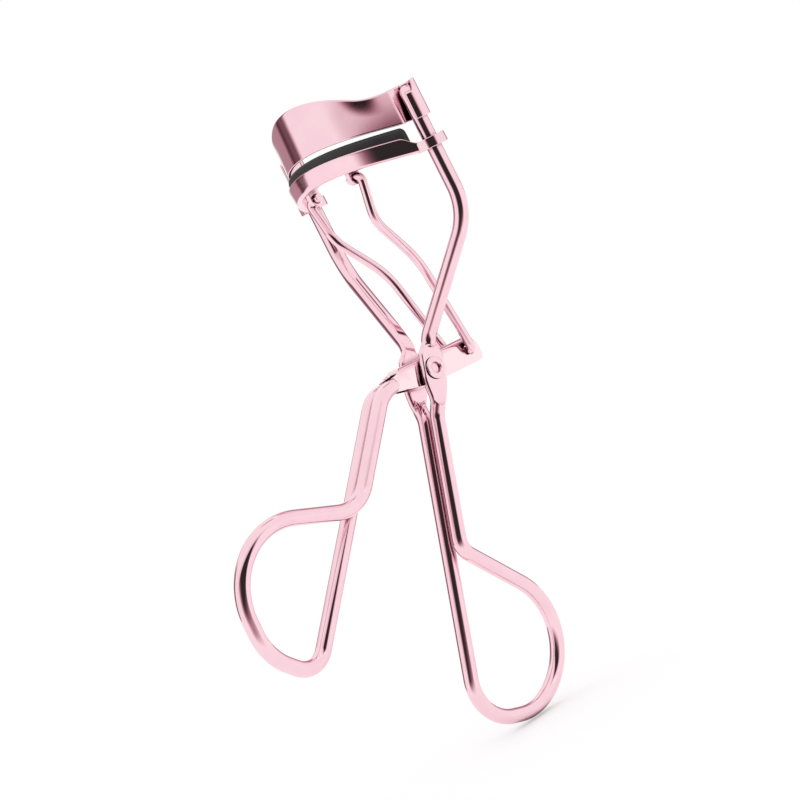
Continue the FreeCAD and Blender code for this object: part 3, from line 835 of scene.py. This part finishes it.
def jaw_plan():
    """Plan of the right half of the upper jaw's mid-line: (point, outward normal)."""
    stations = []
    for i in range(FACE_STEPS + 1):
        angle = math.radians(CREASE_ANGLE * i / FACE_STEPS - 90)
        out = Vector((math.cos(angle), math.sin(angle), 0))
        stations.append((ARC_CENTRE + out * FACE_MIDDLE_R, out))
    crease = stations[-1][0]
    rod = Vector((GUIDE_X, GUIDE_Y, 0))
    start = CURL_END + SLEEVE_WRAP
    curl_start = rod + polar(start).to_3d() * SLEEVE_R
    corners = [(stations[-STRIP_LEAD][0], 0), (crease, CREASE_R), (curl_start, 0)]
    strip = path_stations(corners, lambda point: STRIP_STEP, arc_step=CREASE_ARC_STEP)
    stations = stations[:-STRIP_LEAD]
    stations += [(point, tangent.cross(Z_AXIS)) for point, tangent in strip]
    for i in range(1, CURL_STEPS + 1):
        share = 1 - (1 - i / CURL_STEPS) ** CURL_CROWDING
        out = polar(start - SLEEVE_WRAP * share).to_3d()
        stations.append((rod + out * SLEEVE_R, out))
    return stations


def jaw_top(x):
    """Height of the upper edge at x: hump, fall to the waist, then a gentle rise."""
    x = abs(x)
    slope = math.asin(HUMP_HALF_W / HUMP_R)
    fall_r = (WAIST_X - HUMP_HALF_W) / math.sin(slope)
    hump_end = HUMP_TOP_Z - HUMP_R + HUMP_R * math.cos(slope)
    waist = hump_end - fall_r * (1 - math.cos(slope))
    if x <= HUMP_HALF_W:
        return HUMP_TOP_Z - HUMP_R + math.sqrt(HUMP_R ** 2 - x ** 2)
    if x <= WAIST_X:
        return waist + fall_r - math.sqrt(fall_r ** 2 - (WAIST_X - x) ** 2)
    return mix(waist, SLEEVE_TOP_Z, (x - WAIST_X) / (SLEEVE_END_X - WAIST_X))


def jaw_bottom(x):
    """Height of the lower edge at x: the arched bite line, then the sleeve strip."""
    x = abs(x)
    bite = UPPER_EDGE_Z - arch_drop(min(x, STRIP_X), UPPER_ARCH_R)
    return mix(bite, SLEEVE_BOTTOM_Z, smooth(x, STRIP_X, STRIP_X + STRIP_SHOULDER))


def strip_ring(point, normal, bottom, top, thickness, lean):
    """An upright sheet section with rounded edges. lean(z) shifts it along its normal."""
    half = thickness / 2
    r = min(EDGE_ROUNDING, half)
    shares = [i / FACE_ROWS for i in range(1, FACE_ROWS)]
    profile = arc_points((half - r, bottom + r), r, 270, 360)
    profile += [Vector((half, mix(bottom + r, top - r, share))) for share in shares]
    profile += arc_points((half - r, top - r), r, 0, 90)
    profile += arc_points((r - half, top - r), r, 90, 180)
    profile += [Vector((-half, mix(top - r, bottom + r, share))) for share in shares]
    profile += arc_points((r - half, bottom + r), r, 180, 270)
    return [point + normal * (p.x + lean(p.y)) + Z_AXIS * p.y for p in profile]


def curl_top(point):
    """Height of the curl's top: trimmed lower on its free side."""
    if abs(point.x) < CURL_X:
        return HUMP_TOP_Z
    return mix(RELIEF_Z, SLEEVE_TOP_Z, smooth(point.y, *RELIEF))


def rounded_off(distance, radius):
    """How much a corner of this radius has taken off at a distance from its end."""
    left = max(0.0, 1 - distance / radius)
    return radius * (1 - math.sqrt(1 - left ** 2))


def upper_jaw_ring(point, normal):
    """Section of the upper jaw at a station of its plan."""
    x = abs(point.x)
    free_end = Vector((GUIDE_X, GUIDE_Y, 0)) + polar(CURL_END).to_3d() * SLEEVE_R
    on_curl = x > CURL_X and point.y < GUIDE_Y
    from_end = (Vector((x, point.y, 0)) - free_end).length if on_curl else SLEEVE_R
    bottom = jaw_bottom(x) + rounded_off(from_end, CURL_CORNER_R / 2)
    top = min(jaw_top(x), curl_top(point)) - rounded_off(from_end, CURL_CORNER_R)
    thickness = JAW_SHEET - EDGE_THINNING * rounded_off(from_end, 2 * EDGE_ROUNDING)
    on_face = 1 - smooth(point.y, *LEAN_FADE)
    height = HUMP_TOP_Z - UPPER_EDGE_Z
    flared = FLARE * smooth(x, *FLARE_RISE) * (1 - smooth(x, *FLARE_FALL))

    def lean(z):
        turned = max(0.0, 1 - (top - z) / FLARE_H) ** 2
        return flared * turned - JAW_LEAN * on_face * (z - UPPER_EDGE_Z) / height

    return strip_ring(point, normal, bottom, top, thickness, lean)


def build_upper_jaw(material):
    right = jaw_plan()
    left = [(flipped(point), flipped(normal)) for point, normal in reversed(right[1:])]
    rings = [upper_jaw_ring(point, normal) for point, normal in left + right]
    piece = mesh_object("upper_jaw_polished", *skin(rings))
    finish_piece(piece, "frame", ["upper_jaw"], material)


CHANNEL_ANGLE = 58.8
WALL_FULL_X = 16.0
WALL_END_X = 17.9
EAR_BOTTOM_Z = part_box("lower_jaw")[0][2] / MM
EAR_TOP_Z = 36.1
EAR_R = 2.65
EAR_GAP = 0.08          # between the rod and the ear that slides on it
EAR_HOLE_R = FRAME_WIRE_R + EAR_GAP
WALL_LEAN = 0.25        # the outer wall's foot is set in by this much
LOWEST_WALL = 1.3       # no wall is lower than this many sheets
CHANNEL_EDGE_R = 0.12
FOLD_OUTER_R = 0.55
FOLD_INNER_R = 0.1
CORNER_STEPS = 6
WALL_ROWS = 6
CHANNEL_STEPS = 120
EAR_STEPS = 72
EAR_HOLE_STEPS = 48
TAB_ANGLE = 3.0         # the ear's tab reaches this far into the channel, in degrees
TAB_INSET = 0.1
LUG_SUNK = 0.2          # the lug reaches this far into the channel's floor
LUG_STEPS = 24
PIN_CLEARANCE = 0.06
LOWER_JAW_BEVEL = 0.14


def jaw_outward(angle):
    """Direction out from the middle of the jaws' arc, at an angle from its front."""
    return Vector((math.sin(math.radians(angle)), -math.cos(math.radians(angle)), 0))


def channel_ring(angle):
    """U-shaped section of the lower jaw's channel at an angle round the arc."""
    out = jaw_outward(angle)
    x = abs(CHANNEL_R * out.x)
    bottom = CHANNEL_BOTTOM_Z - arch_drop(x)
    full_top = CHANNEL_TOP_Z - arch_drop(min(x, WALL_FULL_X))
    top = mix(full_top, EAR_TOP_Z, smooth(x, WALL_FULL_X, WALL_END_X))
    outer = CHANNEL_R
    inner = CHANNEL_R - CHANNEL_DEPTH
    t = CHANNEL_SHEET
    top = max(top, bottom + LOWEST_WALL * t)
    edge = CHANNEL_EDGE_R
    fold = FOLD_OUTER_R
    nook = FOLD_INNER_R
    foot = (outer - fold - WALL_LEAN, bottom + fold)
    profile = arc_points(foot, fold, 270, 360, CORNER_STEPS)
    for i in range(1, WALL_ROWS):
        share = i / WALL_ROWS
        height = mix(bottom + fold, top - edge, share)
        profile.append(Vector((outer - WALL_LEAN * (1 - share), height)))
    profile += arc_points((outer - edge, top - edge), edge, 0, 90)
    profile += arc_points((outer - t + edge, top - edge), edge, 90, 180)
    profile += arc_points((outer - t - nook, bottom + t + nook), nook, 0, -90)
    profile += arc_points((inner + t + nook, bottom + t + nook), nook, 270, 180)
    profile += arc_points((inner + t - edge, top - edge), edge, 0, 90)
    profile += arc_points((inner + edge, top - edge), edge, 90, 180)
    profile += arc_points((inner + fold, bottom + fold), fold, 180, 270, CORNER_STEPS)
    return [ARC_CENTRE + out * p.x + Z_AXIS * p.y for p in profile]


def ear_part():
    """The ear that runs on the right guide rod, with its tab to the channel."""
    rod = Vector((GUIDE_X, GUIDE_Y))
    rim = round_hole(rod, EAR_R, EAR_STEPS)
    out = polar(CHANNEL_ANGLE - TAB_ANGLE - 90)
    tab = (CHANNEL_R - TAB_INSET, CHANNEL_R - CHANNEL_DEPTH + TAB_INSET)
    candidates = rim + [Vector((0, ARC_Y)) + out * radius for radius in tab]
    outline = [candidates[i] for i in convex_hull_2d(candidates)]
    middle = (EAR_BOTTOM_Z + EAR_TOP_Z) / 2

    def place(x, y):
        return Vector((x, y, middle)), Z_AXIS

    hole = round_hole(rod, EAR_HOLE_R, EAR_HOLE_STEPS)
    return stamped_part(outline, [hole], [], place, EAR_TOP_Z - EAR_BOTTOM_Z)


def lug_part():
    """The hinge lug under the channel, on the right."""
    top = CHANNEL_BOTTOM_Z + LUG_SUNK
    outline = arc_points((HINGE_Y, HINGE_Z), LUG_R, 180, 360, LUG_STEPS)
    outline += [Vector((HINGE_Y + LUG_R, top)), Vector((HINGE_Y - LUG_R, top))]

    def place(y, z):
        return Vector((LUG_X, y, z)), X_AXIS

    hole = round_hole((HINGE_Y, HINGE_Z), THRUST_WIRE_R + PIN_CLEARANCE)
    return stamped_part(outline, [hole], [], place, LUG_T)


def build_lower_jaw(material):
    shares = [i / CHANNEL_STEPS for i in range(CHANNEL_STEPS + 1)]
    rings = [channel_ring(mix(-CHANNEL_ANGLE, CHANNEL_ANGLE, share)) for share in shares]
    parts = [skin(rings)]
    for part in (ear_part(), lug_part()):
        parts += [part, mirrored(part)]
    piece = mesh_object("lower_jaw_polished", *joined(parts))
    nodes = ["lower_jaw"]
    finish_piece(piece, "lower_jaw_slide", nodes, material, LOWER_JAW_BEVEL)


PAD_ANGLE = 54.2
PAD_END_R = 0.95
PAD_END_WIDTH = 0.45    # share of its width that the pad keeps at its ends
PAD_SIDE_GAP = 0.05
PAD_FLOOR_GAP = 0.06
PAD_FOOT_R = 0.2
PAD_CROWN_R = 0.75
CROWN_SHARE = 0.8       # the crown rounds off this share of the half width at most
CROWN_STEPS = 10
PAD_STEPS = 160


def pad_ring(angle):
    """Section of the lash pad: square in the channel, crowned where it stands out."""
    end = PAD_ANGLE - abs(angle)
    reach = math.radians(end) * CHANNEL_R
    squeeze = math.sqrt(max(0.0, 1 - (1 - min(reach / PAD_END_R, 1.0)) ** 2))
    out = jaw_outward(angle)
    middle_r = CHANNEL_R - CHANNEL_DEPTH / 2
    drop = arch_drop(middle_r * out.x)
    full_half = CHANNEL_DEPTH / 2 - CHANNEL_SHEET - PAD_SIDE_GAP
    half = mix(PAD_END_WIDTH, 1.0, squeeze) * full_half
    bottom = CHANNEL_BOTTOM_Z + CHANNEL_SHEET + PAD_FLOOR_GAP - drop
    top = PAD_TOP_Z - drop - (1 - squeeze) * PAD_END_R
    crown = min(PAD_CROWN_R, half * CROWN_SHARE)
    foot = PAD_FOOT_R
    profile = arc_points((half - foot, bottom + foot), foot, 270, 360)
    profile += arc_points((half - crown, top - crown), crown, 0, 90, CROWN_STEPS)
    profile += arc_points((crown - half, top - crown), crown, 90, 180, CROWN_STEPS)
    profile += arc_points((foot - half, bottom + foot), foot, 180, 270)
    centre = ARC_CENTRE + out * middle_r
    return [centre + out * p.x + Z_AXIS * p.y for p in profile]


def build_lash_pad(material):
    turns = [math.pi * i / PAD_STEPS for i in range(PAD_STEPS + 1)]
    rings = [pad_ring(-PAD_ANGLE + PAD_ANGLE * (1 - math.cos(turn))) for turn in turns]
    piece = mesh_object("lash_pad_moulded", *skin(rings))
    finish_piece(piece, "lower_jaw_slide", ["lash_pad"], material)


# ======== materials ========

def node_material(name):
    """A new node material, with its nodes and links."""
    material = bpy.data.materials.new(name)
    material.use_nodes = True
    return material, material.node_tree.nodes, material.node_tree.links


def ramp(nodes, links, source, stops):
    """The colour that a value has on a ramp. stops = (position, colour) pairs."""
    node = nodes.new("ShaderNodeValToRGB")
    elements = node.color_ramp.elements
    elements[0].position, elements[0].color = stops[0]
    elements[1].position, elements[1].color = stops[-1]
    for position, colour in stops[1:-1]:
        elements.new(position).color = colour
    links.new(source, node.inputs["Fac"])
    return node.outputs["Color"]


def grey(value):
    return (value, value, value, 1)


def noise(nodes, links, scale, detail, stretch=(1, 1, 1)):
    """Noise over the piece's own coordinates, in turns per metre."""
    where = nodes.new("ShaderNodeTexCoord")
    mapping = nodes.new("ShaderNodeMapping")
    mapping.inputs["Scale"].default_value = stretch
    texture = nodes.new("ShaderNodeTexNoise")
    texture.inputs["Scale"].default_value = scale
    texture.inputs["Detail"].default_value = detail
    links.new(where.outputs["Object"], mapping.inputs["Vector"])
    links.new(mapping.outputs["Vector"], texture.inputs["Vector"])
    return texture.outputs["Fac"]


def add_bump(nodes, links, shader, height, strength, depth):
    """Lifts a surface by a value's height. depth is in metres."""
    bump = nodes.new("ShaderNodeBump")
    bump.inputs["Strength"].default_value = strength
    bump.inputs["Distance"].default_value = depth
    links.new(height, bump.inputs["Height"])
    links.new(bump.outputs["Normal"], shader.inputs["Normal"])


HAZE_SCALE = 260
HAZE_TONES = ((0.3, (0.925, 0.625, 0.70, 1)), (0.7, (0.95, 0.67, 0.735, 1)))
MARKS_SCALE = 2400      # fine marks from drawing and pressing
MARKS_RANGE = (0.3, 0.75)
MARKS_BUMP = (0.05, 0.000006)
WEAR = ((0.52, grey(0)), (0.62, grey(1)))
WORN_TONE = (0.97, 0.76, 0.80, 1)
CREVICE_REACH = 2.2     # painted shade, with some tarnish: the colour darkens in corners this tight and where parts or the floor come this near
CREVICE_SAMPLES = 6
# painted shade: near black in the tightest corners, dark rose in looser ones, no change in open
# places
CREVICE_SHADE_TONES = (
    (0.18, (0.10, 0.035, 0.05, 1)),
    (0.42, (0.42, 0.25, 0.30, 1)),
    (0.66, (1.0, 1.0, 1.0, 1)),
)


def rose_chrome(name, stretch, roughness):
    """Rose-tinted chrome plate: fine marks, faint haze, worn edges, and painted shade in crevices
    and where parts meet, which also stands for some tarnish.
    """
    material, nodes, links = node_material(name)
    shader = nodes["Principled BSDF"]
    shader.inputs["Metallic"].default_value = 1.0
    haze = noise(nodes, links, HAZE_SCALE, 4)
    marks = noise(nodes, links, MARKS_SCALE, 3, stretch)
    edges = nodes.new("ShaderNodeNewGeometry")
    tint = ramp(nodes, links, haze, HAZE_TONES)
    worn = ramp(nodes, links, edges.outputs["Pointiness"], WEAR)
    colour = nodes.new("ShaderNodeMix")
    colour.data_type = "RGBA"
    colour.inputs["B"].default_value = WORN_TONE
    links.new(worn, colour.inputs["Factor"])
    links.new(tint, colour.inputs["A"])
    # painted shade: ambient occlusion darkens the base colour in crevices, where parts meet and
    # near the floor
    shade_occlusion = nodes.new("ShaderNodeAmbientOcclusion")
    shade_occlusion.samples = CREVICE_SAMPLES
    shade_occlusion.inputs["Distance"].default_value = CREVICE_REACH * MM
    painted_shade = ramp(nodes, links, shade_occlusion.outputs["AO"], CREVICE_SHADE_TONES)
    darkened = nodes.new("ShaderNodeMix")
    darkened.data_type = "RGBA"
    darkened.blend_type = "MULTIPLY"
    darkened.inputs["Factor"].default_value = 1.0
    links.new(colour.outputs["Result"], darkened.inputs["A"])
    links.new(painted_shade, darkened.inputs["B"])
    links.new(darkened.outputs["Result"], shader.inputs["Base Color"])
    stops = [(position, grey(value)) for position, value in zip(MARKS_RANGE, roughness)]
    rough = ramp(nodes, links, marks, stops)
    links.new(rough, shader.inputs["Roughness"])
    add_bump(nodes, links, shader, marks, *MARKS_BUMP)
    return material


MOTTLE_SCALE = 420
MOTTLE_TONES = ((0.3, (0.010, 0.009, 0.009, 1)), (0.75, (0.019, 0.017, 0.017, 1)))
MOTTLE_ROUGHNESS = ((0.25, grey(0.42)), (0.8, grey(0.58)))
GRAIN_SCALE = 5200
GRAIN_BUMP = (0.25, 0.00003)


def silicone():
    """Charcoal silicone: matte, slightly mottled, a fine moulded skin."""
    material, nodes, links = node_material("charcoal_silicone")
    shader = nodes["Principled BSDF"]
    mottle = noise(nodes, links, MOTTLE_SCALE, 5)
    grain = noise(nodes, links, GRAIN_SCALE, 2)
    colour = ramp(nodes, links, mottle, MOTTLE_TONES)
    rough = ramp(nodes, links, mottle, MOTTLE_ROUGHNESS)
    links.new(colour, shader.inputs["Base Color"])
    links.new(rough, shader.inputs["Roughness"])
    add_bump(nodes, links, shader, grain, *GRAIN_BUMP)
    return material


# ======== studio ========

CAMERA_AZIMUTH = 50.0
CAMERA_ELEVATION = 3.4
CAMERA_ROLL = -26.8
CAMERA_DISTANCE = 450.0
CAMERA_SHIFT = (4.03, 4.79)     # the view's centre passes this far beside the rivet
CAMERA_LENS = 115.3
CLIP_START = 0.01       # in metres
FLOOR_GAP = 0.3         # the floor lies this far under the lowest point
FLOOR_HALF = 4000.0
FAR_CARDS = 1300.0
NEAR_CARD = 112.0
CARD_GAP = 4.0          # cards that overlap stand this far apart
CARD_CELLS = 48


def towards(azimuth, elevation):
    """Direction from the curler: azimuth from the camera, positive to its left."""
    a = math.radians(CAMERA_AZIMUTH - azimuth)
    e = math.radians(elevation)
    return Vector((math.sin(a) * math.cos(e), -math.cos(a) * math.cos(e), math.sin(e)))


def set_camera():
    back = towards(0, CAMERA_ELEVATION)
    a = math.radians(CAMERA_AZIMUTH)
    right = Vector((math.cos(a), math.sin(a), 0))
    up = back.cross(right)
    roll = math.radians(CAMERA_ROLL)
    rolled_right = right * math.cos(roll) + up * math.sin(roll)
    rolled_up = up * math.cos(roll) - right * math.sin(roll)
    place = back * CAMERA_DISTANCE - rolled_right * CAMERA_SHIFT[0] - rolled_up * CAMERA_SHIFT[1]
    camera = bpy.data.objects.new("camera", bpy.data.cameras.new("camera"))
    camera.data.lens = CAMERA_LENS
    camera.data.clip_start = CLIP_START
    axes = Matrix((rolled_right, rolled_up, back)).transposed()
    camera.matrix_world = Matrix.Translation(place * MM) @ axes.to_4x4()
    bpy.context.scene.collection.objects.link(camera)
    bpy.context.scene.camera = camera


CARD_TONES = (
    (0.0, (1.0, 1.0, 1.0, 1)),
    (0.25, (0.75, 0.636, 0.66, 1)),
    (0.5, (0.45, 0.31, 0.345, 1)),
    (0.68, (0.28, 0.167, 0.194, 1)),
    (0.85, (0.13, 0.078, 0.088, 1)),
    (1.0, (0.028, 0.028, 0.027, 1)),
)


def card_material(name):
    """Smoked film, darker with the mesh's own cover attribute."""
    material, nodes, links = node_material(name)
    nodes.remove(nodes["Principled BSDF"])
    cover = nodes.new("ShaderNodeAttribute")
    cover.attribute_name = "cover"
    tone = ramp(nodes, links, cover.outputs["Fac"], CARD_TONES)
    film = nodes.new("ShaderNodeBsdfTransparent")
    links.new(tone, film.inputs["Color"])
    links.new(film.outputs["BSDF"], nodes["Material Output"].inputs["Surface"])
    return material


def far_sheet(layer):
    """Places points on a far sphere, by azimuth and elevation."""
    def place(azimuth, elevation):
        return towards(azimuth, elevation) * (FAR_CARDS + layer * CARD_GAP)

    return place


def near_sheet(layer):
    """Places points on an upright plane at the camera's side, across it and up."""
    def place(across, height):
        middle = towards(0, 0) * (NEAR_CARD + layer * CARD_GAP)
        return middle + towards(90, 0) * across + Z_AXIS * height

    return place


def studio_card(name, place, widths, heights, fade, depth):
    """A smoked card that only reflections see. place(across, height) gives its points,
    with across positive to the camera's left. fade = width of its soft edges at
    the right, left, bottom and top. depth = how dark it gets, up to 1."""
    points = []
    cover = []
    for j in range(CARD_CELLS + 1):
        height = mix(heights[0], heights[1], j / CARD_CELLS)
        for i in range(CARD_CELLS + 1):
            across = mix(widths[0], widths[1], i / CARD_CELLS)
            points.append(place(across, height))
            right = smooth(across - widths[0], 0, fade[0])
            left = smooth(widths[1] - across, 0, fade[1])
            bottom = smooth(height - heights[0], 0, fade[2])
            top = smooth(heights[1] - height, 0, fade[3])
            cover.append(depth * right * left * bottom * top)
    faces = []
    for j in range(CARD_CELLS):
        for i in range(CARD_CELLS):
            a = j * (CARD_CELLS + 1) + i
            faces.append((a, a + 1, a + CARD_CELLS + 2, a + CARD_CELLS + 1))
    card = mesh_object(name, points, faces)
    attribute = card.data.attributes.new("cover", "FLOAT", "POINT")
    attribute.data.foreach_set("value", cover)
    card.data.materials.append(card_material(name))
    card.visible_camera = False
    card.visible_diffuse = False
    card.visible_shadow = False
    card.visible_transmission = False
    card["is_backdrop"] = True


# name, place, widths, heights, soft edges, depth
STUDIO_CARDS = (
    ("card_near", near_sheet(0), (-104, 122), (-68, 62), (52, 84, 62, 12), 1.0),
    ("card_halo", near_sheet(1), (-170, 170), (34, 130), (90, 90, 18, 76), 0.2),
    ("card_left", far_sheet(0), (106, 134), (-24, 44), (9, 9, 12, 12), 0.8),
    ("card_far_left", far_sheet(1), (118, 172), (-34, 34), (10, 16, 14, 20), 0.5),
    ("card_overhead", far_sheet(2), (-120, -98), (56, 78), (6, 6, 6, 6), 0.7),
    ("card_rear", far_sheet(3), (184, 234), (-36, 58), (16, 18, 14, 20), 0.6),
)


def floor_material():
    """Pale, evenly lit floor that meets the white background without a line."""
    material, nodes, _ = node_material("pale_floor")
    shader = nodes["Principled BSDF"]
    shader.inputs["Base Color"].default_value = grey(0.7)
    shader.inputs["Roughness"].default_value = 0.9
    shader.inputs["Emission Color"].default_value = grey(1.0)
    shader.inputs["Emission Strength"].default_value = 0.32
    return material


def set_studio():
    scene = bpy.context.scene
    scene.view_settings.view_transform = "Standard"
    world = bpy.data.worlds.new("white_studio")
    world.use_nodes = True
    world.node_tree.nodes["Background"].inputs["Color"].default_value = grey(1.0)
    scene.world = world
    low = cad_bounds[0][2] / MM - FLOOR_GAP
    signs = ((-1, -1), (1, -1), (1, 1), (-1, 1))
    corners = [(x * FLOOR_HALF, y * FLOOR_HALF, low) for x, y in signs]
    floor = mesh_object("floor", corners, [(0, 1, 2, 3)])
    floor.data.materials.append(floor_material())
    floor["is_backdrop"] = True
    for card in STUDIO_CARDS:
        studio_card(*card)


WIRE_STRETCH = (1, 1, 0.12)     # the wire's marks are long along Z
WIRE_ROUGHNESS = (0.03, 0.065)
SHEET_ROUGHNESS = (0.04, 0.085)


def build():
    wire = rose_chrome("rose_chrome_wire", WIRE_STRETCH, WIRE_ROUGHNESS)
    sheet = rose_chrome("rose_chrome_sheet", (1, 1, 1), SHEET_ROUGHNESS)
    build_frame_wire(wire)
    build_lever_wire(wire)
    build_thrust_wires(wire)
    build_rivet(wire)
    build_bracket(sheet)
    build_upper_jaw(sheet)
    build_lower_jaw(sheet)
    build_lash_pad(silicone())
    set_camera()
    set_studio()


build()

sizes = {"cad": cad_bounds, "visual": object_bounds()}
plain = {key: [[float(v) for v in corner] for corner in box] for key, box in sizes.items()}
